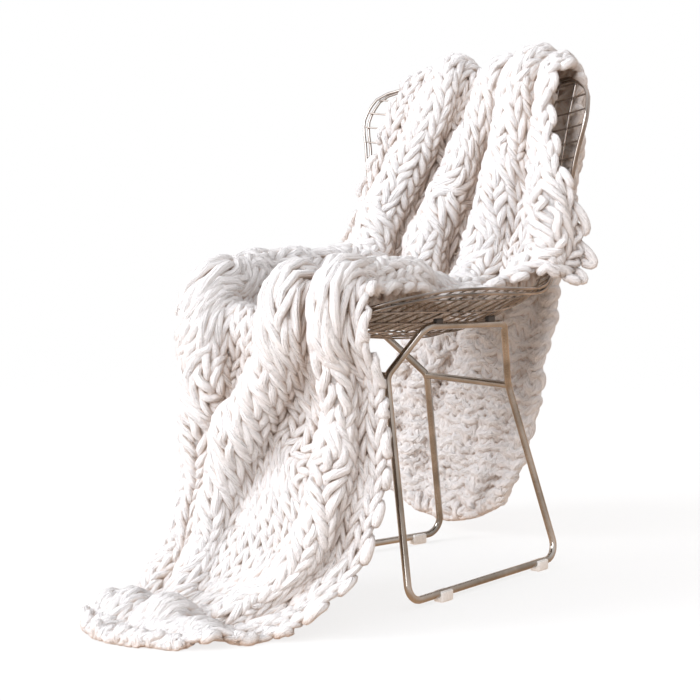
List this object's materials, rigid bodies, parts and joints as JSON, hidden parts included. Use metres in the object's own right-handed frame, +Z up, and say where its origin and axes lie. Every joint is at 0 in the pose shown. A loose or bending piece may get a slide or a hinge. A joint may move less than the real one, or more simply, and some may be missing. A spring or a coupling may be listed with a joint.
{
  "type": "knit throw blanket draped over a wire chair",
  "caption": "Chunky knit throw draped over a plain wire grid chair, pooling on the floor in front and hanging behind.",
  "frame": {"origin": "middle of the footprint of the whole object, on the floor", "axes": "+Z up, +X to the right seen from the front, -Y the way the chair faces, +Y towards its back"},
  "size_m": [0.5988, 0.8892, 0.8054],
  "materials": {
    "warm_nickel": "polished, warm nickel",
    "dark_chrome": "polished, dark",
    "dark_rubber": "matte",
    "white_plastic": "satin",
    "off_white_yarn": "plush knit"
  },
  "bodies": {
    "root": {"side_frame_left": "warm_nickel", "side_frame_right": "warm_nickel", "cross_rod_front": "warm_nickel", "cross_rod_rear": "warm_nickel", "wire_shell": "dark_chrome", "clip_front_left": "dark_rubber", "clip_front_right": "dark_rubber", "clip_rear_left": "dark_rubber", "clip_rear_right": "dark_rubber", "glide_front_left": "white_plastic", "glide_front_right": "white_plastic", "glide_rear_left": "white_plastic", "glide_rear_right": "white_plastic", "throw": "off_white_yarn"}
  },
  "joints": []
}
